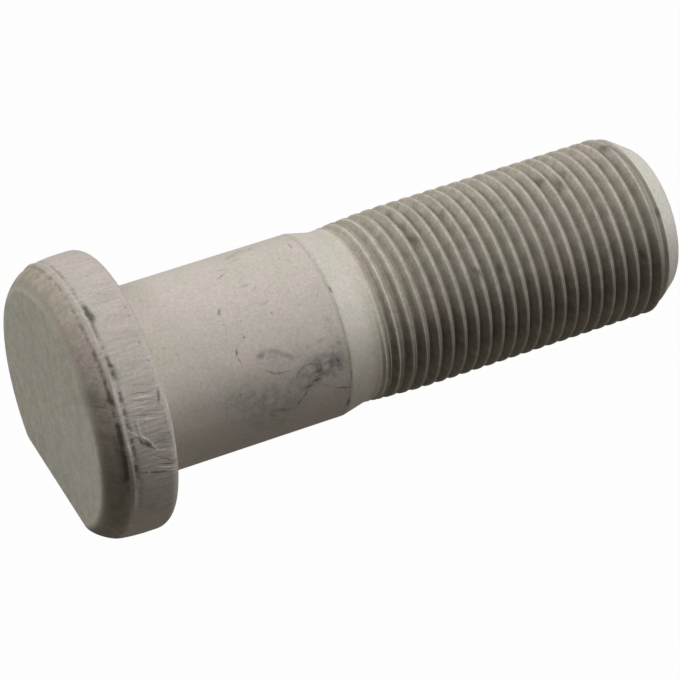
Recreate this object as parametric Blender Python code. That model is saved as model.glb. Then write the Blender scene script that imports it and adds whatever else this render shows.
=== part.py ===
"""A wheel bolt: a round forged head with one flat, a plain shank and a rolled M20 x 1.5 thread.

It is one piece of steel. It is modelled about its own Z axis, with the head's bearing face at z = 0,
the head below it and the thread above, and the head's flat facing +X. An empty then lays it down as
it comes to rest on the ground: on the edge of the head's flat and on the last full turn of thread.
"""

import math

import bmesh
import bpy
from mathutils import Matrix, Vector

MM = 0.001

# Head: a forged disc with a crowned front, a parting ridge round its side and one flat. The side has a
# little draft towards the ridge
HEAD_DIAMETER = 30.3 * MM
HEAD_THICKNESS = 8.0 * MM
CROWN_WIDTH = 2.3 * MM
CROWN_HEIGHT = 2.4 * MM
CROWN_BOW = 0.25 * MM
RIDGE_WIDTH = 0.5 * MM
RIDGE_RISE = 0.1 * MM
DRAFT = 0.2 * MM
DRAFT_LENGTH = 2.4 * MM
DRAFT_BOW = 0.03 * MM
BACK_ROUNDING = 1.3 * MM
FLAT_DISTANCE = 10.9 * MM
FLAT_CORNER_RADIUS = 1.2 * MM
FLAT_FRONT_ROUNDING = 1.0 * MM

# Shank: plain, then tapered down to the diameter that the thread is rolled on
SHANK_DIAMETER = 20.25 * MM
SHANK_LENGTH = 22.0 * MM
SHANK_FILLET = 0.45 * MM
TAPER_LENGTH = 2.6 * MM
NECK_LENGTH = 0.5 * MM

# Thread: metric profile, right-hand. Where it starts, the root soon reaches its depth, and the crest
# takes several turns to fill
UNDERHEAD_LENGTH = 62.7 * MM
THREAD_DIAMETER = 20.0 * MM
THREAD_PITCH = 1.5 * MM
THREAD_START_ANGLE = math.radians(174)
ROOT_RUN_OUT = 1.9 * MM
CREST_RUN_OUT = 11.4 * MM

# End: a chamfer, rounded over into the end face
CHAMFER_LENGTH = 3.1 * MM
CHAMFER_ANGLE = math.radians(35)
END_ROUNDING = 1.5 * MM

# How finely the round forms are divided
STEPS_PER_TURN = 36
CORNER_STEPS = 3
CROWN_STEPS = 6
DRAFT_STEPS = 2
ROUNDING_STEPS = 4
WELD = 0.005 * MM
SMOOTH_ANGLE = math.radians(30)

# Thread form, from the pitch: an equal-sided V with a flat crest and a shallow flat root
V_HEIGHT = THREAD_PITCH * math.sqrt(3) / 2
THREAD_DEPTH = V_HEIGHT * 17 / 24
CREST_FLAT = THREAD_PITCH / 8
FLANK_LENGTH = THREAD_DEPTH / math.sqrt(3)
CREST_RADIUS = THREAD_DIAMETER / 2
ROOT_RADIUS = CREST_RADIUS - THREAD_DEPTH
PITCH_RADIUS = CREST_RADIUS - V_HEIGHT * 3 / 8

HEAD_RADIUS = HEAD_DIAMETER / 2
SHANK_RADIUS = SHANK_DIAMETER / 2
THREAD_START = SHANK_LENGTH + TAPER_LENGTH + NECK_LENGTH
CHAMFER_START = UNDERHEAD_LENGTH - CHAMFER_LENGTH


def arc(centre, radius, start, end, steps):
    """Points on a circle in the plane, from one angle to the other, both ends included."""
    angles = [start + (end - start) * step / steps for step in range(steps + 1)]
    return [(centre[0] + radius * math.cos(a), centre[1] + radius * math.sin(a)) for a in angles]


def bowed_line(start, end, bow, steps):
    """Points on the circular arc from start to end whose middle stands off the chord by bow."""
    start, end = Vector(start), Vector(end)
    chord = end - start
    outward = Vector((chord.y, -chord.x)).normalized()
    radius = (chord.length / 2) ** 2 / (2 * bow) + bow / 2
    centre = (start + end) / 2 + outward * (bow - radius)
    half = math.asin(chord.length / 2 / radius)
    facing = math.atan2(outward.y, outward.x)
    return arc(centre, radius, facing - half, facing + half, steps)


def circle(radius):
    """Points round a plain circle."""
    return arc((0, 0), radius, 0, math.tau, STEPS_PER_TURN)[:-1]


def head_outline(radius, flat):
    """Points round the head at one height: a circle cut by the flat, with its corners rounded."""
    reach = radius - FLAT_CORNER_RADIUS
    turn = math.acos(min(1, (flat - FLAT_CORNER_RADIUS) / reach))
    if turn == 0:
        return circle(radius)
    corner_x, corner_y = reach * math.cos(turn), reach * math.sin(turn)
    points = arc((corner_x, corner_y), FLAT_CORNER_RADIUS, 0, turn, CORNER_STEPS)
    points += arc((0, 0), radius, turn, math.tau - turn, STEPS_PER_TURN)[1:-1]
    points += arc((corner_x, -corner_y), FLAT_CORNER_RADIUS, -turn, 0, CORNER_STEPS)
    return points


def flat_at(height):
    """How far the flat stands from the axis at a height: less where its front edge is rounded."""
    depth = max(0, height + HEAD_THICKNESS)
    missing = max(0, FLAT_FRONT_ROUNDING - depth)
    rounding = FLAT_FRONT_ROUNDING - math.sqrt(FLAT_FRONT_ROUNDING ** 2 - missing ** 2)
    return FLAT_DISTANCE - rounding


def head_profile():
    """Radius and height down the head's side: crowned front edge, ridge, side with its draft,
    rounded back edge."""
    face = -HEAD_THICKNESS
    ridge = face + CROWN_HEIGHT
    side_radius = HEAD_RADIUS - DRAFT
    crown_start = (HEAD_RADIUS - CROWN_WIDTH, face)
    crown_end = (side_radius - RIDGE_RISE, ridge)
    profile = bowed_line(crown_start, crown_end, CROWN_BOW, CROWN_STEPS)
    profile.append((side_radius + RIDGE_RISE, ridge + RIDGE_WIDTH / 3))
    profile.append((side_radius + RIDGE_RISE, ridge + RIDGE_WIDTH * 2 / 3))
    side_start = (side_radius, ridge + RIDGE_WIDTH)
    side_end = (HEAD_RADIUS, ridge + RIDGE_WIDTH + DRAFT_LENGTH)
    profile += bowed_line(side_start, side_end, DRAFT_BOW, DRAFT_STEPS)
    back = (HEAD_RADIUS - BACK_ROUNDING, -BACK_ROUNDING)
    return profile + arc(back, BACK_ROUNDING, 0, math.pi / 2, ROUNDING_STEPS)


def shank_profile():
    """Radius and height up the shank: the fillet under the head, the plain length, the taper."""
    shoulder = FLAT_DISTANCE - SHANK_RADIUS
    fillet = min(SHANK_FILLET, shoulder * 2 / 3)
    centre = (SHANK_RADIUS + fillet, fillet)
    profile = arc(centre, fillet, -math.pi / 2, -math.pi, ROUNDING_STEPS)
    profile.append((SHANK_RADIUS, SHANK_LENGTH))
    profile.append((PITCH_RADIUS, SHANK_LENGTH + TAPER_LENGTH))
    return profile


def chamfer_radius(height):
    """Radius of the chamfer's cone at a height."""
    return CREST_RADIUS - (height - CHAMFER_START) * math.tan(CHAMFER_ANGLE)


def end_profile():
    """Radius and height over the end: where the chamfer is rounded over into the end face."""
    centre_height = UNDERHEAD_LENGTH - END_ROUNDING
    centre_radius = chamfer_radius(centre_height) - END_ROUNDING / math.cos(CHAMFER_ANGLE)
    centre = (centre_radius, centre_height)
    return arc(centre, END_ROUNDING, CHAMFER_ANGLE, math.pi / 2, ROUNDING_STEPS)


def add_thread(bm, top):
    """Spins one pitch of the thread up its helix, then shapes the run-out and the chamfer."""
    turns = math.ceil((top - THREAD_START) / THREAD_PITCH) + 2
    outline = [
        (ROOT_RADIUS, 0),
        (CREST_RADIUS, FLANK_LENGTH),
        (CREST_RADIUS, FLANK_LENGTH + CREST_FLAT),
        (ROOT_RADIUS, FLANK_LENGTH * 2 + CREST_FLAT),
        (ROOT_RADIUS, THREAD_PITCH),
    ]
    base = Vector((0, 0, THREAD_START - THREAD_PITCH))
    verts = [bm.verts.new(Vector((radius, 0, rise)) + base) for radius, rise in outline]
    edges = [bm.edges.new(pair) for pair in zip(verts, verts[1:])]
    turn = Matrix.Rotation(THREAD_START_ANGLE, 3, "Z")
    bmesh.ops.rotate(bm, verts=verts, cent=(0, 0, 0), matrix=turn)
    bmesh.ops.spin(
        bm,
        geom=verts + edges,
        cent=(0, 0, 0),
        axis=(0, 0, 1),
        dvec=(0, 0, THREAD_PITCH / STEPS_PER_TURN),
        angle=math.tau * turns,
        steps=STEPS_PER_TURN * turns,
    )
    bmesh.ops.remove_doubles(bm, verts=bm.verts, dist=WELD)
    for vert in bm.verts:
        shape_thread(vert)
    for height, side in ((THREAD_START, -1), (top, 1)):
        whole = bm.verts[:] + bm.edges[:] + bm.faces[:]
        bmesh.ops.bisect_plane(
            bm,
            geom=whole,
            dist=WELD,
            plane_co=(0, 0, height),
            plane_no=(0, 0, side),
            clear_outer=True,
        )


def shape_thread(vert):
    """Holds a point of the full thread between the root and the crest that the rolling leaves at
    its height, both starting from the blank's pitch radius, and under the chamfer."""
    rolled = max(0, vert.co.z - THREAD_START)
    deep = min(1, rolled / ROOT_RUN_OUT)
    root = PITCH_RADIUS - (PITCH_RADIUS - ROOT_RADIUS) * deep * deep * (3 - 2 * deep)
    filled = 1 - (1 - min(1, rolled / CREST_RUN_OUT)) ** 3
    crest = PITCH_RADIUS + (CREST_RADIUS - PITCH_RADIUS) * filled
    radius = vert.co.xy.length
    vert.co.xy *= min(max(radius, root), crest, chamfer_radius(vert.co.z)) / radius


def rim(bm, height):
    """The open edges of the thread in the plane at a height."""
    return [
        edge for edge in bm.edges
        if edge.is_boundary and all(abs(vert.co.z - height) < WELD for vert in edge.verts)
    ]


def add_ring(bm, points, height):
    """A closed ring of edges through the points, in the plane at a height."""
    verts = [bm.verts.new((x, y, height)) for x, y in points]
    return [bm.edges.new(pair) for pair in zip(verts, verts[1:] + verts[:1])]


def add_skin(bm, rings):
    """Faces from each ring of edges to the next."""
    for lower, upper in zip(rings, rings[1:]):
        bmesh.ops.bridge_loops(bm, edges=lower + upper)


def bolt_mesh():
    """The whole bolt as one closed mesh."""
    bm = bmesh.new()
    end_points = end_profile()
    top = end_points[0][1]
    add_thread(bm, top)
    thread_rims = rim(bm, THREAD_START), rim(bm, top)

    head = [add_ring(bm, head_outline(r, flat_at(z)), z) for r, z in head_profile()]
    shank = [add_ring(bm, circle(r), z) for r, z in shank_profile()]
    end = [add_ring(bm, circle(r), z) for r, z in end_points[1:]]
    add_skin(bm, head + shank + [thread_rims[0]])
    add_skin(bm, [thread_rims[1]] + end)
    for edges in (head[0], end[-1]):
        bmesh.ops.contextual_create(bm, geom=edges)

    bmesh.ops.recalc_face_normals(bm, faces=bm.faces)
    mesh = bpy.data.meshes.new("wheel_bolt")
    bm.to_mesh(mesh)
    bm.free()
    mesh.shade_smooth()
    mesh.set_sharp_from_angle(angle=SMOOTH_ANGLE)
    return mesh


def balance_height(mesh):
    """Height of the centre of mass, from the tetrahedra between the origin and each triangle."""
    volume = moment = 0
    mesh.calc_loop_triangles()
    for triangle in mesh.loop_triangles:
        a, b, c = (mesh.vertices[index].co for index in triangle.vertices)
        share = a.dot(b.cross(c)) / 6
        volume += share
        moment += share * (a.z + b.z + c.z) / 4
    return moment / volume


def resting_tilt(mesh):
    """How far the tip drops for the bolt to rest: the slope of the line under its centre of mass
    that touches it from below, seen from the side with the flat downwards."""
    side = sorted((vert.co.z, -vert.co.x) for vert in mesh.vertices)
    under = []
    for z, up in side:
        while len(under) > 1:
            (z1, up1), (z2, up2) = under[-2:]
            if (z2 - z1) * (up - up1) > (up2 - up1) * (z - z1):
                break
            under.pop()
        under.append((z, up))
    balance = balance_height(mesh)
    for (z1, up1), (z2, up2) in zip(under, under[1:]):
        if z2 >= balance:
            return math.atan2(up2 - up1, z2 - z1)


def lay_down(bolt):
    """Parents the bolt to an empty that turns its flat to the ground, its tip towards +X, and sets
    the middle of its footprint on the origin."""
    tilt = resting_tilt(bolt.data)
    turn = Matrix.Rotation(math.pi / 2 + tilt, 3, "Y")
    corners = [turn @ vert.co for vert in bolt.data.vertices]
    xs, ys, zs = zip(*corners)
    place = bpy.data.objects.new("resting_place", None)
    place.rotation_euler = turn.to_euler()
    place.location = (-(min(xs) + max(xs)) / 2, -(min(ys) + max(ys)) / 2, -min(zs))
    bpy.context.collection.objects.link(place)
    bolt.parent = place


def coated_steel():
    """Dull zinc-flake coating: a warm light grey."""
    material = bpy.data.materials.new("coated_steel")
    material.use_nodes = True
    shader = material.node_tree.nodes["Principled BSDF"]
    shader.inputs["Base Color"].default_value = (0.38, 0.35, 0.31, 1)
    shader.inputs["Metallic"].default_value = 0.3
    shader.inputs["Roughness"].default_value = 0.6
    return material


def main():
    for old in list(bpy.data.objects):
        bpy.data.objects.remove(old)
    mesh = bolt_mesh()
    mesh.materials.append(coated_steel())
    bolt = bpy.data.objects.new("wheel_bolt", mesh)
    bpy.context.collection.objects.link(bolt)
    lay_down(bolt)


main()
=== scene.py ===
"""The looks of a wheel bolt that lies on the flat of its head, and of the place it is pictured in."""

import math

import bmesh
import bpy
from mathutils import Matrix, Vector


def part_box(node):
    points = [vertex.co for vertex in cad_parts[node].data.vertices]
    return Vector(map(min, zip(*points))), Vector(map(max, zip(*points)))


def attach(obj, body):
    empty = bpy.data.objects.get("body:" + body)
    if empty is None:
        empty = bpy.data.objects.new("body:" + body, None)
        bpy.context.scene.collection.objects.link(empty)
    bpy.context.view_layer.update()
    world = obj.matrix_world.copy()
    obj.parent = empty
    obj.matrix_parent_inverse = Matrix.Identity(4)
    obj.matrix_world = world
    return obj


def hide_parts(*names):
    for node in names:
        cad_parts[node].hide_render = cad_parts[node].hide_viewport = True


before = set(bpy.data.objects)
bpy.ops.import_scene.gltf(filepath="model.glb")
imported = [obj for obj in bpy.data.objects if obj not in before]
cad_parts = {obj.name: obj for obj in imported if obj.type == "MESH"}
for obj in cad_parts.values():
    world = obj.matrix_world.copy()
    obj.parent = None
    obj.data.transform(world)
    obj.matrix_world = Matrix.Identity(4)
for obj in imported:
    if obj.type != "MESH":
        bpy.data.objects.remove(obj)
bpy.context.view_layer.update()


# The bolt's thread. An M20 x 1.5 right-hand thread, rolled between dies on the cold forged blank. The
# dies soon press the root to its full depth. The crest rises from what they press out and takes several
# turns to fill, so its first turns are low and broad, with a shallow seam along the middle.
MM = 0.001
THREAD_DIAMETER = 20.0 * MM
THREAD_PITCH = 1.5 * MM
THREAD_START = 25.1 * MM
THREAD_START_ANGLE = math.radians(168)
ROOT_RUN_OUT = 1.9 * MM
CREST_RUN_OUT = 11.4 * MM
SEAM_DEPTH = 0.14 * MM
ROOT_ROUNDING = 0.17 * MM
CREST_ROUNDING = 0.06 * MM
CREST_WIDTH = 0.2 * MM
FLANK_ANGLE = math.radians(30)
FLANK_STEPS = 4
ARC_STEPS = 4
STEPS_PER_TURN = 120
WELD = 0.002 * MM
SMOOTH_ANGLE = math.radians(35)

v_height = THREAD_PITCH * math.sqrt(3) / 2
thread_depth = v_height * 17 / 24
crest_radius = THREAD_DIAMETER / 2
root_radius = crest_radius - thread_depth
pitch_radius = crest_radius - v_height * 3 / 8

# The end of the bolt: a chamfer that lets the nut start, rounded over into the end face
UNDERHEAD_LENGTH = 62.7 * MM
CHAMFER_LENGTH = 3.1 * MM
CHAMFER_ANGLE = math.radians(35)
END_ROUNDING = 1.5 * MM
chamfer_start = UNDERHEAD_LENGTH - CHAMFER_LENGTH


def arc(centre, radius, start, end, steps=ARC_STEPS):
    """Points on a circle in the plane of the profile, from one angle to the other."""
    angles = [start + (end - start) * step / steps for step in range(steps + 1)]
    return [(centre[0] + radius * math.cos(a), centre[1] + radius * math.sin(a)) for a in angles]


def straight(start, end, steps):
    """Points on the line between two points, without its ends."""
    return [tuple(Vector(start).lerp(Vector(end), step / steps)) for step in range(1, steps)]


def chamfer_radius(height):
    return crest_radius - (height - chamfer_start) * math.tan(CHAMFER_ANGLE)


def thread_profile():
    """Radius and rise over one pitch, from the middle of a root over the crest to the next root."""
    turn = math.pi / 2 - FLANK_ANGLE
    root = arc((root_radius + ROOT_ROUNDING, 0), ROOT_ROUNDING, math.pi, math.pi - turn)
    edge = (THREAD_PITCH - CREST_WIDTH) / 2
    crest = arc((crest_radius - CREST_ROUNDING, edge), CREST_ROUNDING, -turn, 0, 3)
    half = root + straight(root[-1], crest[0], FLANK_STEPS) + crest
    return half + [(radius, THREAD_PITCH - rise) for radius, rise in reversed(half)]


def roll(vert):
    """Makes a point of the full thread as shallow, or as low, as the dies leave it at its height,
    holds it under the chamfer, and notes how far below the crest it lies, from 0 to 1."""
    rolled = max(0, vert.co.z - THREAD_START)
    deep = min(1, rolled / ROOT_RUN_OUT)
    open_share = (1 - min(1, rolled / CREST_RUN_OUT)) ** 3
    crest = pitch_radius + (crest_radius - pitch_radius) * (1 - open_share)
    radius = vert.co.xy.length
    left = radius
    if radius < pitch_radius:
        left -= (radius - pitch_radius) * (1 - deep * deep * (3 - 2 * deep))
    middle = max(0, radius - crest) / (crest_radius - crest + WELD)
    crest = min(crest - SEAM_DEPTH * open_share * middle ** 3, chamfer_radius(vert.co.z))
    left = min(left, crest)
    vert[groove] = (crest - left) / thread_depth
    vert.co.xy *= left / radius


bm = bmesh.new()
groove = bm.verts.layers.float.new("groove")
to_head = bm.verts.layers.float.new("to_head")
end_profile = arc(
    (chamfer_radius(UNDERHEAD_LENGTH - END_ROUNDING) - END_ROUNDING / math.cos(CHAMFER_ANGLE),
     UNDERHEAD_LENGTH - END_ROUNDING),
    END_ROUNDING, CHAMFER_ANGLE, math.pi / 2, 8,
)
thread_top = end_profile[0][1]
base = Vector((0, 0, THREAD_START - THREAD_PITCH))
verts = [bm.verts.new(Vector((radius, 0, rise)) + base) for radius, rise in thread_profile()]
edges = [bm.edges.new(pair) for pair in zip(verts, verts[1:])]
for vert in verts[1:len(verts) // 2]:
    vert[to_head] = 1
start_turn = Matrix.Rotation(THREAD_START_ANGLE, 3, "Z")
bmesh.ops.rotate(bm, verts=verts, cent=(0, 0, 0), matrix=start_turn)
bmesh.ops.spin(
    bm,
    geom=verts + edges,
    cent=(0, 0, 0),
    axis=(0, 0, 1),
    dvec=(0, 0, THREAD_PITCH / STEPS_PER_TURN),
    angle=math.tau,
    steps=STEPS_PER_TURN,
)
one_turn = bm.verts[:] + bm.edges[:] + bm.faces[:]
for turn in range(1, math.ceil((thread_top - THREAD_START) / THREAD_PITCH) + 2):
    copied = bmesh.ops.duplicate(bm, geom=one_turn)["geom"]
    copied = [item for item in copied if isinstance(item, bmesh.types.BMVert)]
    bmesh.ops.translate(bm, verts=copied, vec=(0, 0, turn * THREAD_PITCH))
bmesh.ops.remove_doubles(bm, verts=bm.verts, dist=WELD)
for vert in bm.verts:
    roll(vert)
for height, side in ((THREAD_START, -1), (thread_top, 1)):
    bmesh.ops.bisect_plane(
        bm,
        geom=bm.verts[:] + bm.edges[:] + bm.faces[:],
        dist=WELD,
        plane_co=(0, 0, height),
        plane_no=(0, 0, side),
        clear_outer=True,
    )


# The shank. A plain pin that is pressed into the hub, tapered at its end down to the diameter of the
# blank that the thread is rolled on. It and the bolt's end are turned forms.
SHANK_DIAMETER = 20.25 * MM
SHANK_LENGTH = 22.0 * MM
SHANK_FILLET = 0.45 * MM
TAPER_LENGTH = 2.6 * MM

shank_radius = SHANK_DIAMETER / 2


def add_turned(bm, profile, start=0, sweep=math.tau, steps=STEPS_PER_TURN):
    """Turns a profile of radius and height about the axis, from a start angle through a sweep."""
    verts = [
        bm.verts.new((radius * math.cos(start), radius * math.sin(start), height))
        for radius, height in profile
    ]
    edges = [bm.edges.new(pair) for pair in zip(verts, verts[1:])]
    bmesh.ops.spin(
        bm,
        geom=verts + edges,
        cent=(0, 0, 0),
        axis=(0, 0, 1),
        angle=sweep,
        steps=steps,
        use_merge=sweep == math.tau,
    )


fillet_centre = (shank_radius + SHANK_FILLET, SHANK_FILLET)
fillet = arc(fillet_centre, SHANK_FILLET, -math.pi / 2, -math.pi, 6)
shank = fillet + straight(fillet[-1], (shank_radius, SHANK_LENGTH), 40)
shank += [(shank_radius, SHANK_LENGTH), (pitch_radius, SHANK_LENGTH + TAPER_LENGTH)]
shank += [(pitch_radius, THREAD_START)]
add_turned(bm, shank)
add_turned(bm, end_profile + [(0, UNDERHEAD_LENGTH)])


# The head. A forged disc with a crowned front edge and one flat, pressed in the dies. Where they met, a
# low ridge with a crease on either side runs round the half of the head away from the flat.
HEAD_DIAMETER = 30.3 * MM
HEAD_THICKNESS = 8.0 * MM
CROWN_WIDTH = 2.3 * MM
CROWN_HEIGHT = 2.4 * MM
CROWN_BOW = 0.2 * MM
FACE_ROUNDING = 1.1 * MM
FACE_TURN = math.radians(35)
RIDGE_WIDTH = 0.5 * MM
RIDGE_RISE = 0.1 * MM
CREASE_DEPTH = 0.07 * MM
RIDGE_END = math.radians(80)
RIDGE_FADE = math.radians(8)
DRAFT = 0.2 * MM
DRAFT_LENGTH = 2.4 * MM
DRAFT_BOW = 0.03 * MM
BACK_ROUNDING = 1.3 * MM
FLAT_DISTANCE = 10.9 * MM
FLAT_CORNER_RADIUS = 1.2 * MM
FLAT_FRONT_ROUNDING = 1.0 * MM

head_radius = HEAD_DIAMETER / 2
ridge_middle = CROWN_HEIGHT + RIDGE_WIDTH / 2 - HEAD_THICKNESS


def bowed_line(start, end, bow, steps):
    """Points on the circular arc from start to end whose middle stands off the chord by bow."""
    start, end = Vector(start), Vector(end)
    chord = end - start
    outward = Vector((chord.y, -chord.x)).normalized()
    radius = (chord.length / 2) ** 2 / (2 * bow) + bow / 2
    centre = (start + end) / 2 + outward * (bow - radius)
    half = math.asin(chord.length / 2 / radius)
    facing = math.atan2(outward.y, outward.x)
    return arc(centre, radius, facing - half, facing + half, steps)


def hump(distance, width):
    """A smooth hump, 1 high in the middle."""
    return math.exp(-((distance / width) ** 2))


def raise_ridge(vert):
    """Lifts the ridge out of the head's side and sinks the creases beside it. It wanders a little."""
    angle = abs(math.atan2(vert.co.y, vert.co.x))
    share = min(1, max(0, (angle - RIDGE_END) / RIDGE_FADE + 0.5))
    wander = RIDGE_RISE * (math.sin(5 * angle) + math.sin(11 * angle + 2) / 2)
    away = vert.co.z - ridge_middle - wander
    creases = hump(away + RIDGE_WIDTH, RIDGE_WIDTH / 2) + hump(away - RIDGE_WIDTH, RIDGE_WIDTH / 2)
    rise = RIDGE_RISE * hump(away, RIDGE_WIDTH / 3) - CREASE_DEPTH * creases
    vert.co.xy *= 1 + rise * share / vert.co.xy.length


def press_flat(vert):
    """Brings a point of the turned head in to the flat, whose corners and front edge are round."""
    radius = vert.co.xy.length
    angle = abs(math.atan2(vert.co.y, vert.co.x))
    missing = max(0, FLAT_FRONT_ROUNDING - vert.co.z - HEAD_THICKNESS)
    flat = FLAT_DISTANCE - FLAT_FRONT_ROUNDING
    flat += math.sqrt(max(0, FLAT_FRONT_ROUNDING ** 2 - missing ** 2))
    reach = radius - FLAT_CORNER_RADIUS
    if reach <= flat - FLAT_CORNER_RADIUS:
        return
    corner = math.acos((flat - FLAT_CORNER_RADIUS) / reach)
    if angle < math.atan2(reach * math.sin(corner), flat):
        vert.co.xy *= flat / math.cos(angle) / radius
    elif angle < corner:
        off = reach * math.sin(corner - angle)
        pressed = reach * math.cos(corner - angle) + math.sqrt(FLAT_CORNER_RADIUS ** 2 - off ** 2)
        vert.co.xy *= pressed / radius


face = -HEAD_THICKNESS
side_start = (head_radius - DRAFT, face + CROWN_HEIGHT + RIDGE_WIDTH)
side_end = (head_radius, side_start[1] + DRAFT_LENGTH)
face_edge = head_radius - CROWN_WIDTH - FACE_ROUNDING * math.tan(FACE_TURN / 2)
rounded_face = arc(
    (face_edge, face + FACE_ROUNDING), FACE_ROUNDING, -math.pi / 2, FACE_TURN - math.pi / 2, 8
)
crown_end = (head_radius - DRAFT - RIDGE_RISE, face + CROWN_HEIGHT)
head = [(0, face), (head_radius / 2, face)] + rounded_face
head += bowed_line(rounded_face[-1], crown_end, CROWN_BOW, 24)[1:]
head += straight(crown_end, side_start, 8)
head += bowed_line(side_start, side_end, DRAFT_BOW, 20)
head += straight(side_end, (head_radius, -BACK_ROUNDING), 6)
head += arc((head_radius - BACK_ROUNDING, -BACK_ROUNDING), BACK_ROUNDING, 0, math.pi / 2, 8)
head += [fillet[0]]

# The steps are finer where the flat's corners come, so that they are round
CORNERS_FROM, CORNERS_TO = math.radians(30), math.radians(48)
head_bm = bmesh.new()
for start, sweep, steps in (
    (-CORNERS_FROM, 2 * CORNERS_FROM, 24),
    (CORNERS_FROM, CORNERS_TO - CORNERS_FROM, 27),
    (CORNERS_TO, math.tau - 2 * CORNERS_TO, 132),
    (-CORNERS_TO, CORNERS_TO - CORNERS_FROM, 27),
):
    add_turned(head_bm, head, start, sweep, steps)
bmesh.ops.remove_doubles(head_bm, verts=head_bm.verts, dist=WELD)
for vert in head_bm.verts:
    if vert.co.xy.length > shank_radius + SHANK_FILLET * 1.5:
        raise_ridge(vert)
        press_flat(vert)
pressed = bpy.data.meshes.new("pressed_head")
head_bm.to_mesh(pressed)
head_bm.free()
bm.from_mesh(pressed)
bpy.data.meshes.remove(pressed)

for height in (0, THREAD_START, thread_top):
    loops = [
        e for e in bm.edges
        if e.is_boundary and all(abs(v.co.z - height) < WELD for v in e.verts)
    ]
    bmesh.ops.bridge_loops(bm, edges=loops)
bmesh.ops.recalc_face_normals(bm, faces=bm.faces)

mesh = bpy.data.meshes.new("rolled_bolt")
bm.to_mesh(mesh)
bm.free()
mesh.shade_smooth()
mesh.set_sharp_from_angle(angle=SMOOTH_ANGLE)

# The bolt lies on the rear edge of the flat and on the last full crest of the thread
DIP = math.radians(0.891)
lying = Matrix.Rotation(math.pi / 2 + DIP, 4, "Y")
mesh.transform(lying)
low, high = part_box("wheel_bolt")
xs, _, zs = zip(*(vert.co for vert in mesh.vertices))
shift = Vector(((low.x + high.x - min(xs) - max(xs)) / 2, 0, low.z - min(zs)))
mesh.transform(Matrix.Translation(shift))

bolt = bpy.data.objects.new("rolled_bolt", mesh)
bpy.context.collection.objects.link(bolt)
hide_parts("wheel_bolt")
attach(bolt, "root")


# The finish. Zinc flakes in a thin inorganic binder, dipped and baked on the forged steel: matt and
# warm grey, with no shine. It is brownish on the crown, greenish on the face, pale and clean on the
# taper, scuffed on the shank, and dirty in the thread's grooves, which painted shade darkens too.
# Painted shade also darkens the creases and the near side low down, and painted light brightens the
# crown's top, the head's back edge and the thread's flanks towards the head. Its lengths are in
# millimetres.
coating = bpy.data.materials.new("zinc_flake_coated_steel")
coating.use_nodes = True


def linear(hex_colour):
    """A linear colour from an sRGB hex value."""
    parts = [int(hex_colour[i:i + 2], 16) / 255 for i in (1, 3, 5)]
    return [p / 12.92 if p <= 0.04045 else ((p + 0.055) / 1.055) ** 2.4 for p in parts] + [1]


def add(material, kind, settings=None, inputs=None):
    """Adds a node with its settings, and links or sets its inputs. A node given as an input is
    linked by its first output."""
    made = material.node_tree.nodes.new("ShaderNode" + kind)
    for name, value in (settings or {}).items():
        setattr(made, name, value)
    for name, value in (inputs or {}).items():
        if isinstance(value, bpy.types.Node):
            value = value.outputs[0]
        if isinstance(value, bpy.types.NodeSocket):
            material.node_tree.links.new(value, made.inputs[name])
        else:
            made.inputs[name].default_value = value
    return made


def times(first, second):
    """The product of two values."""
    return add(coating, "Math", {"operation": "MULTIPLY"}, {0: first, 1: second})


def apart(value, middle):
    """How far a value lies from a middle one, to either side."""
    off = add(coating, "Math", {"operation": "SUBTRACT"}, {0: value, 1: middle})
    return add(coating, "Math", {"operation": "ABSOLUTE"}, {0: off})


def fade(value, start, end, low=0.0, high=1.0):
    """A share that goes from low to high as a value goes from start to end."""
    return add(coating, "MapRange", None, {0: value, 1: start, 2: end, 3: low, 4: high})


def noise(width, detail):
    """Noise with lumps about as wide as the width."""
    return add(coating, "TexNoise", None, {"Vector": place, "Scale": 1 / width, "Detail": detail})


def shades(value, stops):
    """The colour at a value, blended between stops, each a position from 0 to 1 and its colour."""
    made = add(coating, "ValToRGB", None, {0: value})
    ramp = made.color_ramp
    while len(ramp.elements) < len(stops):
        ramp.elements.new(1)
    for element, (position, stop_colour) in zip(ramp.elements, stops):
        element.position = position
        element.color = stop_colour
    return made


def tint(colour, share, value, low, high):
    """The colour times a factor that goes from low to high as a value goes from 0 to 1. With a
    share, only that much of the factor counts."""
    factor = fade(value, 0, 1, low, high)
    if share is not None:
        factor = add(coating, "Mix", None, {0: share, 2: 1.0, 3: factor})
    return add(coating, "VectorMath", {"operation": "SCALE"}, {0: colour, "Scale": factor.outputs[0]})


# The bolt's own millimetres: Z along its axis from the bearing face, X upwards as it lies. From these
# come the height along the axis, and the turn in radians from the top line to the camera's side
own_frame = Matrix.Rotation(math.pi, 4, "Z") @ (Matrix.Translation(shift) @ lying).inverted()
place = add(coating, "TexCoord").outputs["Object"]
place = add(coating, "Mapping", None, {
    "Vector": place,
    "Scale": (1 / MM, 1 / MM, 1 / MM),
    "Rotation": own_frame.to_euler(),
    "Location": own_frame.translation / MM,
})
parts = add(coating, "SeparateXYZ", None, {0: place})
height = parts.outputs["Z"]
turn = add(coating, "Math", {"operation": "ARCTAN2"}, {0: parts.outputs["Y"], 1: parts.outputs["X"]})
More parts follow.
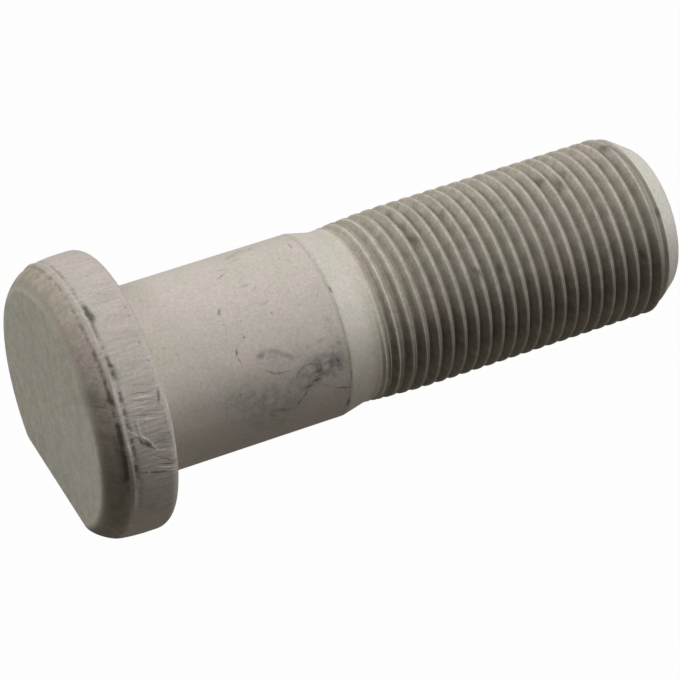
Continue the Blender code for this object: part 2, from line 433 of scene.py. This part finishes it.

# Colour along the bolt, by height. Each pair of heights is a soft border between two zones. The
# paler band on the rounded back edge of the head is a painted highlight
FACE, CROWN, SIDE, BACK_EDGE_HIGHLIGHT = "#cfcbbe", "#a79e92", "#c9c1b9", "#d6cfc7"
SHANK, BORDER, TAPER = "#d3cbc2", "#bdb6ac", "#e6e0d6"
START, THREAD, TIP = "#dcd5ca", "#d8d0c3", "#eeeae0"
ZONES = [
    (-7.93, FACE), (-7.62, CROWN), (-5.9, CROWN), (-5.4, SIDE), (-1.0, SIDE), (-0.5, BACK_EDGE_HIGHLIGHT),
    (-0.05, BACK_EDGE_HIGHLIGHT), (0.3, SHANK), (21.35, SHANK), (21.65, BORDER), (21.9, TAPER), (24.1, TAPER),
    (25.1, START), (26.2, THREAD), (59.6, THREAD), (60.3, TIP),
]
BOTTOM, TOP = -HEAD_THICKNESS / MM, UNDERHEAD_LENGTH / MM
zones = shades(
    fade(height, BOTTOM, TOP),
    [((at - BOTTOM) / (TOP - BOTTOM), linear(zone)) for at, zone in ZONES],
)

# Where the tints lie, as shares that fade from one height to another
not_face = fade(height, -7.7, -7.2)
off_face = fade(height, -7.95, -7.7)
on_face = fade(height, -7.85, -7.95)
on_crown = times(fade(height, -5.4, -6.0), not_face)
on_head = times(fade(height, -0.1, -0.6), not_face)
on_taper = times(fade(height, 21.6, 21.9), fade(height, 25.5, 24.5))
on_thread = times(fade(height, 25.0, 27.0), fade(height, 60.0, 59.4))

# Mottling: cloudy patches that lean to pink or to green, a fine grain, and patches between the two
CLOUD_WIDTH, PATCH_WIDTH, GRAIN_WIDTH = 3, 1.2, 0.3
GREENISH, PINKISH = (0.96, 0.98, 0.945, 1), (1.03, 1.0, 1.01, 1)
pink_green = shades(noise(CLOUD_WIDTH, 4), [(0.38, GREENISH), (0.62, PINKISH)])
colour = add(coating, "VectorMath", {"operation": "MULTIPLY"}, {0: zones, 1: pink_green})
grain = noise(GRAIN_WIDTH, 2)
colour = tint(colour, None, grain, 0.8, 1.2)
patches = fade(noise(PATCH_WIDTH, 3), 0.35, 0.65)

# Forging lines on the head's side: fine, along the axis, about 0.15 mm wide and 3 mm long. They are
# faint on the crown, and strong where the side is scored, a little below the middle of the near side
LINES_PER_RADIAN, LINES_PER_MM = 50, 0.25
SCORED_AT, SCORED_REACH, SCORED_WITHIN = 1.2, 0.4, 0.15
FAINT, STRONG, CROWN_SHARE = 0.4, 0.8, 0.3
drawn = add(coating, "CombineXYZ", None, {0: turn, 1: height})
drawn = add(coating, "VectorMath", {"operation": "MULTIPLY"}, {
    0: drawn, 1: (LINES_PER_RADIAN, LINES_PER_MM, 1),
})
lines = add(coating, "TexNoise", {"noise_dimensions": "2D"}, {"Vector": drawn, "Scale": 1, "Detail": 3})
lines = fade(lines, 0.3, 0.7)
scored = fade(apart(turn, SCORED_AT), SCORED_REACH, SCORED_WITHIN, FAINT, STRONG)
on_side = times(times(fade(height, -6.5, -5.0, CROWN_SHARE, 1), scored), on_head)
colour = tint(colour, on_side, lines, 0.84, 1.22)

# The crown is patchy, with painted light and shade that make it lighter on top and darker down its
# near side. The face is faintly cloudy, and painted shade makes the taper darker on top
colour = tint(colour, on_crown, patches, 0.88, 1.08)
colour = tint(colour, on_crown, fade(turn, 0.0, 0.9), 1.25, 0.95)
colour = tint(colour, on_face, patches, 0.93, 1.07)
colour = tint(colour, on_taper, fade(turn, 0.7, 0.0), 1.0, 0.87)

# Painted shade and grime in the grooves of the thread, darker by how deep they are. Painted light
# makes the flank towards the head and the edge of the crest above it paler than the rest. The thread
# is patchy, and painted shade makes it darker down its near side
GROOVE_SHADE_AND_DIRT = [(0.0, 1.0), (0.08, 1.0), (0.22, 0.86), (0.85, 0.76), (0.97, 0.48)]
grooves = add(coating, "Attribute", {"attribute_name": "groove"}).outputs["Fac"]
groove_shade_and_dirt = shades(grooves, [(depth, (left, left, left, 1)) for depth, left in GROOVE_SHADE_AND_DIRT])
colour = add(coating, "VectorMath", {"operation": "MULTIPLY"}, {0: colour, 1: groove_shade_and_dirt})
facing_head = add(coating, "Attribute", {"attribute_name": "to_head"}).outputs["Fac"]
colour = tint(colour, on_thread, fade(facing_head, 0.7, 1.0), 0.66, 1.0)
colour = tint(colour, on_thread, fade(turn, 0.7, 1.5), 1.0, 0.85)
colour = tint(colour, on_thread, patches, 0.87, 1.09)

# Painted shade: the near side is darker low down, but not underneath, and not on the face
low_side_shade = times(times(fade(turn, 0.95, 1.3), fade(turn, 1.9, 1.6)), off_face)
colour = tint(colour, None, low_side_shade, 1.0, 0.82)

# Dirt specks, round and sparse, up to 0.25 mm across
SPECK_SPACING, SPECKS_LEFT_OUT = 0.8, 0.6
speck = add(coating, "TexVoronoi", None, {"Vector": place, "Scale": 1 / SPECK_SPACING})
kept = add(coating, "SeparateXYZ", None, {0: speck.outputs["Color"]})
kept = add(coating, "Math", {"operation": "GREATER_THAN"}, {0: kept, 1: SPECKS_LEFT_OUT})
speck = times(fade(speck.outputs["Distance"], 0.17, 0.06), kept)
colour = tint(colour, None, speck, 1.0, 0.72)

# Marks. Each goes from one place on the skin to another, given as degrees from the top line to the
# camera's side and millimetres along the axis, with its width and how much it lightens or darkens
HEAD_MARKS = [
    (9.8, -4.69, 12.8, -4.54, 0.4, -0.5),
    (13.4, -4.71, 17.6, -4.55, 0.55, -0.75),
    (12.0, -5.51, 15.4, -5.20, 0.2, 0.2),
    (37.8, -4.85, 42.6, -4.62, 0.75, -0.36),
    (36.9, -4.90, 37.8, -4.58, 0.25, -0.3),
    (40.7, -4.75, 41.5, -4.76, 0.25, 0.2),
    (16.4, -0.91, 16.9, -0.85, 0.22, -0.35),
    (20.4, -0.98, 20.6, -0.90, 0.22, -0.35),
    (32.0, -1.15, 32.4, -1.14, 0.24, -0.35),
    (25.8, -2.09, 25.9, -2.01, 0.2, -0.2),
    (39.8, -0.94, 40.3, -0.89, 0.2, -0.3),
    (30.6, 1.37, 33.0, 1.11, 0.16, -0.2),
    (42.0, -1.52, 42.4, -1.46, 0.16, -0.25),
    (42.5, -2.74, 43.0, -2.58, 0.25, 0.2),
    (40.9, -2.76, 41.2, -2.62, 0.18, -0.15),
    (51.7, -0.93, 56.1, -1.16, 0.3, -0.52),
    # Painted highlight: a light line along the rounded back edge of the head
    (54.8, -0.21, 62.8, -0.13, 0.15, 0.45),
    (62.8, -0.13, 71.5, -0.29, 0.15, 0.45),
    (71.5, -0.29, 82.2, -0.46, 0.15, 0.45),
    (58.5, -0.95, 66.6, -0.87, 0.22, -0.21),
    (66.6, -0.87, 75.1, -0.76, 0.22, -0.21),
    (1.7, -3.27, 2.3, -1.09, 0.14, -0.14),
    (6.5, -3.40, 7.1, -0.79, 0.14, -0.12),
    (11.3, -3.42, 11.7, -0.46, 0.14, -0.12),
    (17.8, -3.32, 18.8, -1.30, 0.14, -0.12),
    (26.7, -3.04, 27.2, -0.95, 0.14, -0.1),
    (46.0, -3.99, 49.1, -1.20, 0.13, -0.16),
    (50.0, -4.22, 51.4, -1.39, 0.15, -0.31),
    (52.1, -4.29, 54.9, -1.46, 0.13, -0.26),
    (51.3, -4.12, 53.1, -1.53, 0.12, 0.3),
    (55.1, -4.51, 56.9, -1.61, 0.12, 0.3),
    (57.9, -4.61, 60.9, -1.24, 0.15, -0.31),
    (56.5, -4.30, 58.9, -1.54, 0.12, -0.16),
    (59.8, -4.12, 62.3, -1.34, 0.12, 0.3),
    (59.8, -4.12, 63.7, -4.16, 0.14, -0.26),
    (63.7, -4.16, 71.0, -3.82, 0.14, -0.26),
    (60.5, -3.86, 64.9, -3.82, 0.13, 0.39),
    (64.9, -3.82, 68.9, -3.51, 0.13, 0.39),
    (63.8, -4.86, 66.8, -3.92, 0.17, 0.5),
    (66.8, -3.92, 69.3, -3.12, 0.17, 0.65),
    (69.3, -3.12, 74.1, -2.49, 0.17, 0.65),
    (69.4, -3.75, 72.9, -2.76, 0.4, -0.59),
    (66.3, -4.31, 71.1, -3.72, 0.25, -0.31),
    (73.3, -3.30, 77.0, -0.37, 0.14, 0.39),
    (75.6, -3.08, 84.1, 0.16, 0.14, -0.39),
    (71.0, -2.46, 73.5, -0.53, 0.12, -0.26),
    (67.2, -2.26, 69.6, -0.41, 0.12, -0.16),
    (75.5, -4.32, 78.9, -1.49, 0.13, 0.2),
    (80.4, -2.50, 83.2, -0.50, 0.14, -0.45),
    (81.8, -2.64, 84.7, -0.55, 0.15, 0.72),
    (82.2, -4.52, 85.9, -1.22, 0.2, -0.52),
    (83.6, -2.26, 86.1, -0.58, 0.12, 0.33),
    (83.0, -3.62, 83.2, -3.52, 0.25, 0.52),
    (81.3, -4.26, 81.6, -4.10, 0.2, 0.33),
    (68.4, -5.35, 73.0, -5.02, 0.15, 0.3),
    (69.6, -5.07, 75.9, -4.73, 0.15, -0.35),
    (76.5, -4.96, 81.9, -4.92, 0.3, -0.3),
    (81.9, -4.92, 90.3, -5.09, 0.3, -0.3),
    (102.7, -3.79, 101.5, -2.97, 0.5, -0.12),
    (45.3, -7.59, 52.4, -6.16, 1.2, -0.2),
    (49.2, -6.22, 50.4, -5.93, 0.3, -0.4),
    (49.5, -7.74, 53.3, -6.22, 0.13, -0.25),
    (52.2, -7.66, 54.6, -6.30, 0.13, -0.15),
    # Painted shade and grime: a wide dark band in the crease on the crown side of the ridge, low on the
    # near side
    (63.6, -6.24, 72.1, -6.15, 0.7, -0.32),
    (72.1, -6.15, 81.1, -6.03, 0.7, -0.32),
    (81.1, -6.03, 87.0, -5.93, 0.7, -0.32),
    (28.6, -5.23, 37.7, -5.31, 0.2, -0.22),
    (37.7, -5.31, 46.9, -5.51, 0.2, -0.22),
    (46.9, -5.51, 54.4, -5.75, 0.2, -0.22),
    (35.3, -6.79, 36.3, -5.66, 0.14, -0.14),
    (38.0, -6.92, 42.3, -6.16, 0.14, -0.14),
    (62.9, -7.54, 65.8, -6.87, 0.9, -0.14),
    (126.9, -7.69, 116.1, -5.85, 0.13, 0.2),
    (57.4, -7.75, 58.6, -5.99, 0.13, -0.12),
    (69.4, -7.90, 68.6, -6.32, 0.13, 0.1),
    # Painted highlight and wear: a light line on the crease at the flat's near corner
    (121.7, -7.77, 119.2, -6.92, 0.16, 0.35),
    (119.2, -6.92, 130.6, -4.82, 0.16, 0.35),
]
SHANK_MARKS = [
    (-1.4, 11.20, -4.7, 12.52, 0.15, -0.36),
    (-9.5, 11.96, -8.5, 12.83, 0.13, -0.33),
    (-19.5, 13.70, -28.8, 16.02, 0.5, -0.13),
    (-13.9, 13.74, -16.5, 14.90, 0.3, -0.13),
    (-23.4, 16.58, -27.4, 17.36, 0.18, -0.26),
    (-16.0, 20.62, -9.1, 20.47, 0.16, -0.36),
    (-2.5, 18.33, -2.9, 18.66, 0.16, -0.23),
    (5.2, 17.68, 5.4, 17.95, 0.16, -0.2),
    (9.8, 13.01, 9.5, 13.89, 0.16, -0.31),
    (15.2, 13.90, 12.7, 14.58, 0.16, -0.16),
    (25.7, 14.10, 23.9, 15.10, 0.14, -0.16),
    (20.3, 9.74, 23.0, 9.45, 0.28, -0.42),
    (31.6, 14.70, 32.3, 14.74, 0.22, -0.33),
    (28.0, 9.69, 38.9, 9.29, 0.16, -0.1),
    (40.2, 11.08, 41.5, 10.96, 0.2, -0.39),
    (46.2, 9.82, 49.9, 9.73, 0.18, -0.52),
    (49.9, 9.73, 55.7, 9.93, 0.14, -0.23),
    (54.9, 11.91, 53.7, 12.54, 0.5, -0.34),
    (51.9, 12.92, 55.2, 14.26, 0.4, -0.21),
    (56.4, 14.39, 60.8, 15.32, 0.45, -0.26),
    (62.8, 12.21, 67.7, 13.35, 0.13, -0.29),
    (67.7, 13.35, 67.8, 14.71, 0.13, -0.29),
    (64.7, 12.51, 68.8, 14.07, 0.3, -0.16),
    (61.7, 15.85, 61.1, 16.68, 0.2, -0.18),
    (58.0, 17.31, 57.4, 17.46, 0.24, -0.26),
    (57.5, 18.52, 55.5, 19.28, 0.35, -0.18),
    (44.6, 20.18, 47.4, 20.59, 0.5, -0.1),
    (67.5, 16.77, 69.7, 16.04, 0.14, -0.31),
    (69.7, 16.04, 74.0, 15.44, 0.14, -0.31),
    (67.5, 16.77, 69.1, 17.91, 0.14, -0.31),
    (74.3, 17.34, 73.7, 18.50, 0.3, -0.29),
    (79.5, 17.28, 79.4, 18.23, 0.3, -0.52),
    (81.4, 17.21, 83.0, 16.23, 0.24, -0.45),
    (84.4, 16.64, 88.7, 16.00, 0.2, -0.42),
    (88.7, 16.00, 94.3, 15.24, 0.2, -0.42),
    (83.7, 18.33, 89.3, 19.65, 0.12, -0.2),
    (89.4, 19.65, 93.8, 21.63, 0.14, -0.55),
    (70.0, 20.29, 71.7, 20.32, 0.22, -0.45),
    (60.1, 20.60, 61.7, 20.92, 0.3, -0.21),
    (77.6, 20.53, 78.4, 20.59, 0.2, -0.39),
    (45.3, 21.77, 49.3, 21.72, 0.2, -0.13),
    (103.0, 21.48, 110.4, 21.52, 0.35, -0.45),
    (107.2, 20.26, 105.2, 20.50, 0.2, -0.26),
    (61.5, 21.69, 76.4, 21.67, 0.16, -0.36),
    (76.4, 21.67, 91.0, 21.68, 0.14, -0.36),
    (27.4, 21.71, 31.5, 21.78, 0.22, -0.47),
    (34.9, 21.79, 45.2, 21.68, 0.12, -0.23),
    (47.2, 21.65, 59.4, 21.68, 0.14, -0.29),
    (72.1, 9.06, 72.8, 9.11, 0.2, -0.34),
    (76.8, 11.39, 81.5, 12.06, 0.4, -0.16),
    (90.9, 11.80, 95.7, 15.25, 0.4, -0.18),
    (93.8, 12.18, 97.2, 12.97, 0.3, -0.21),
    (73.3, 15.08, 80.4, 14.36, 0.5, -0.13),
    (77.5, 19.57, 82.7, 19.88, 0.3, -0.18),
    (66.0, 18.36, 67.3, 19.65, 0.6, -0.13),
]
THREAD_MARKS = [
    (-5.0, 32.91, 5.2, 32.85, 0.3, -0.3),
    (6.8, 32.83, 19.3, 33.25, 0.45, -0.4),
    (-26.5, 32.81, -14.8, 32.79, 0.3, -0.25),
    (-4.9, 37.42, 4.1, 37.46, 0.35, -0.28),
    (42.5, 37.67, 51.2, 38.29, 0.4, -0.4),
    (10.5, 43.29, 14.7, 43.20, 0.3, -0.25),
    (46.2, 40.61, 50.8, 40.67, 0.3, -0.35),
    (63.4, 47.72, 79.7, 47.96, 0.3, -0.25),
    (-6.2, 49.40, 1.9, 49.58, 0.45, -0.35),
    (1.7, 51.07, 10.4, 51.09, 0.45, -0.4),
    (-5.8, 52.43, -0.3, 52.49, 0.3, -0.3),
    (67.5, 57.07, 72.7, 57.42, 0.4, -0.35),
    (-19.9, 58.36, -8.0, 58.92, 0.45, -0.4),
    (43.2, 60.10, 48.6, 60.16, 0.35, -0.35),
]
# Smudges are given as the marks are, but they are wide and cloudy
SMUDGES = [
    (76.6, 16.53, 70.3, 19.56, 2.6, -0.25),
    (70.6, 19.74, 78.3, 20.90, 1.6, -0.12),
    (54.2, 12.23, 59.4, 15.20, 1.3, -0.15),
    (71.2, 9.65, 88.7, 15.43, 3, -0.12),
    (76.2, 7.07, 103.5, 13.82, 3, -0.09),
    (-22.3, 14.00, -27.3, 17.07, 1.2, -0.06),
    (52.9, 20.28, 65.9, 20.66, 1.2, -0.1),
]


# A mark's edges are torn by a noise. It fades from its middle, so it is drawn a little longer and
# stronger than it is given
TEAR_WIDTH, TEAR_REACH = 0.5, 0.3
MARK_LENGTHENED, MARK_NARROWED, MARK_STRENGTHENED = 1.25, 0.9, 1.4


def skin(radius_there):
    """The bolt's skin unrolled at a radius, with torn edges."""
    unrolled = add(coating, "CombineXYZ", None, {0: times(turn, radius_there), 1: height})
    tear = noise(TEAR_WIDTH, 2).outputs["Color"]
    tear = add(coating, "VectorMath", {"operation": "SUBTRACT"}, {0: tear, 1: (0.5, 0.5, 0.5)})
    return add(coating, "VectorMath", {"operation": "MULTIPLY_ADD"}, {
        0: tear, 1: (TEAR_REACH, TEAR_REACH, 0), 2: unrolled,
    })


def mark_on(skin_there, radius_there, angle_1, height_1, angle_2, height_2, width, shade, marked):
    """A mark with soft ends, added to the marks so far."""
    ends = [
        Vector((math.radians(angle) * radius_there, height))
        for angle, height in ((angle_1, height_1), (angle_2, height_2))
    ]
    run = ends[1] - ends[0]
    middle = (ends[0] + ends[1]) / 2
    at = add(coating, "Mapping", {"vector_type": "TEXTURE"}, {
        "Vector": skin_there,
        "Location": middle.to_3d(),
        "Rotation": (0, 0, math.atan2(run.y, run.x)),
        "Scale": ((run.length + width) / 2 * MARK_LENGTHENED, width * MARK_NARROWED, 1),
    })
    spot = add(coating, "TexGradient", {"gradient_type": "SPHERICAL"}, {"Vector": at})
    return add(coating, "Math", {"operation": "MULTIPLY_ADD"}, {
        0: spot.outputs["Fac"], 1: MARK_STRENGTHENED * shade, 2: marked,
    })


HEAD_AT, SHANK_AT, THREAD_AT = head_radius / MM, shank_radius / MM, crest_radius / MM
head_skin, shank_skin, thread_skin = skin(HEAD_AT), skin(SHANK_AT), skin(THREAD_AT)
marked = 0.0
for mark in HEAD_MARKS:
    marked = mark_on(head_skin, HEAD_AT, *mark, marked)
for mark in SHANK_MARKS:
    marked = mark_on(shank_skin, SHANK_AT, *mark, marked)
for mark in THREAD_MARKS:
    marked = mark_on(thread_skin, THREAD_AT, *mark, marked)
smudged = 0.0
for mark in SMUDGES:
    smudged = mark_on(shank_skin, SHANK_AT, *mark, smudged)

# The smudges are broken up by a noise, and so is the darkening in the two creases beside the ridge,
# painted shade and grime, which is stronger lower down the near side
BREAK_WIDTH = 0.9
broken = fade(noise(BREAK_WIDTH, 4), 0.36, 0.62, 0.1, 1.8)
smudged = times(smudged, broken)
off_crease = apart(apart(height, ridge_middle / MM), RIDGE_WIDTH / MM)
lower = times(fade(turn, 0.1, 1.1, 0.2, 0.5), fade(turn, 1.65, 1.4))
in_crease = times(times(fade(off_crease, 0.32, 0.05), lower), broken)
marked = add(coating, "Math", {"operation": "SUBTRACT"}, {0: marked, 1: in_crease})

# The marks scale the colour, down to a darkest share, and the smudges take a little more red than blue
DARKEST = 0.3
SMUDGE_TINT = (1.05, 1.0, 0.92)
factor = add(coating, "Math", {"operation": "ADD"}, {0: marked, 1: 1.0})
factor = add(coating, "Math", {"operation": "MAXIMUM"}, {0: factor, 1: DARKEST})
colour = add(coating, "VectorMath", {"operation": "SCALE"}, {0: colour, "Scale": factor.outputs[0]})
smudge_tint = add(coating, "VectorMath", {"operation": "MULTIPLY_ADD"}, {
    0: smudged, 1: SMUDGE_TINT, 2: (1, 1, 1),
})
colour = add(coating, "VectorMath", {"operation": "MULTIPLY"}, {0: colour, 1: smudge_tint})

# Relief: the forging lines, the grain, and the marks, which are dents and lips
RELIEF, GRAIN_RELIEF, MARK_RELIEF = 0.02 * MM, 0.7, 1.5
relief = times(lines, on_side)
relief = add(coating, "Math", {"operation": "MULTIPLY_ADD"}, {0: grain, 1: GRAIN_RELIEF, 2: relief})
relief = add(coating, "Math", {"operation": "MULTIPLY_ADD"}, {0: marked, 1: MARK_RELIEF, 2: relief})
bump = add(coating, "Bump", None, {"Height": relief, "Distance": RELIEF, "Strength": 1})

shader = coating.node_tree.nodes["Principled BSDF"]
shader.inputs["Metallic"].default_value = 0.0
shader.inputs["Roughness"].default_value = 0.75
shader.inputs["Specular IOR Level"].default_value = 0.1
coating.node_tree.links.new(colour.outputs[0], shader.inputs["Base Color"])
coating.node_tree.links.new(bump.outputs[0], shader.inputs["Normal"])
bolt.data.materials.append(coating)


# The floor is plain and white, as the photograph's is, and takes only a faint shadow
FLOOR_SIZE = 4
FLOOR_GLOW = 0.985
bpy.ops.mesh.primitive_plane_add(size=FLOOR_SIZE)
floor = bpy.context.object
floor.name = "floor"
floor_paint = bpy.data.materials.new("white_floor")
floor_paint.use_nodes = True
paper = floor_paint.node_tree.nodes["Principled BSDF"]
paper.inputs["Base Color"].default_value = linear("#7c786e")
paper.inputs["Roughness"].default_value = 1
paper.inputs["Specular IOR Level"].default_value = 0
path = add(floor_paint, "LightPath")
seen = add(floor_paint, "Math", {"operation": "MAXIMUM"}, {
    0: path.outputs["Is Camera Ray"], 1: path.outputs["Is Glossy Ray"],
})
seen = add(floor_paint, "Math", {"operation": "MAXIMUM"}, {
    0: seen, 1: path.outputs["Is Transmission Ray"],
})
white = add(floor_paint, "Emission", None, {"Color": (1, 1, 1, 1), "Strength": 1})
shade = add(floor_paint, "MixShader", None, {0: FLOOR_GLOW, 1: paper, 2: white})
floor_mix = add(floor_paint, "MixShader", None, {0: seen, 1: paper, 2: shade})
floor_paint.node_tree.links.new(
    floor_mix.outputs[0], floor_paint.node_tree.nodes["Material Output"].inputs[0]
)
floor.data.materials.append(floor_paint)

# Light: broad soft lamps overhead and to the left, weak ones low behind and in front, a dim room. Each
# is a square soft box that faces the bolt. A brightness of 1 makes a white card that faces it white
ROOM_BRIGHTNESS = 0.02
LAMP_DISTANCE, LAMP_SIZE = 0.7, 0.3
LAMPS = [
    ("overhead_right", (0.42, -0.2, 0.885), 0.54),
    ("overhead_left", (-0.24, 0.35, 0.91), 0.22),
    ("left", (-0.69, 0.34, 0.64), 0.215),
    ("back", (-0.54, 0.8, 0.26), 0.17),
    ("front_right", (0.54, -0.8, 0.26), 0.08),
]
world = bpy.data.worlds.new("room")
bpy.context.scene.world = world
world.use_nodes = True
world.node_tree.nodes["Background"].inputs["Color"].default_value = linear("#ffffff")
world.node_tree.nodes["Background"].inputs["Strength"].default_value = ROOM_BRIGHTNESS
for name, direction, brightness in LAMPS:
    light = bpy.data.lights.new(name, "AREA")
    light.size = LAMP_SIZE
    light.energy = brightness * math.pi * math.pi * LAMP_DISTANCE ** 2
    lamp = bpy.data.objects.new(name, light)
    lamp.location = Vector(direction).normalized() * LAMP_DISTANCE
    lamp.rotation_euler = Vector(direction).to_track_quat("Z", "Y").to_euler()
    bpy.context.collection.objects.link(lamp)

# The camera: far off with a long lens, as the photograph shows the bolt
CAMERA_PLACE = Vector((-128.353, -260.235, 262.058)) * MM
CAMERA_AIM = Vector((-1.9543, 0, 7.0557)) * MM
CAMERA_ROLL = math.radians(0.917)
FOCAL_PIXELS = 3600
FRAME_PIXELS = 680
HALF_PIXEL = 0.5 / FRAME_PIXELS
CLIP_START = 0.01
SENSOR = 36
camera_data = bpy.data.cameras.new("camera")
camera_data.sensor_width = SENSOR
camera_data.lens = FOCAL_PIXELS / FRAME_PIXELS * SENSOR
camera_data.shift_x = -HALF_PIXEL
camera_data.shift_y = HALF_PIXEL
camera_data.clip_start = CLIP_START
camera = bpy.data.objects.new("camera", camera_data)
camera.location = CAMERA_PLACE
look = (CAMERA_AIM - CAMERA_PLACE).to_track_quat("-Z", "Y").to_matrix()
camera.rotation_euler = (look @ Matrix.Rotation(-CAMERA_ROLL, 3, "Z")).to_euler()
bpy.context.collection.objects.link(camera)
bpy.context.scene.camera = camera
bpy.context.scene.view_settings.view_transform = "Standard"
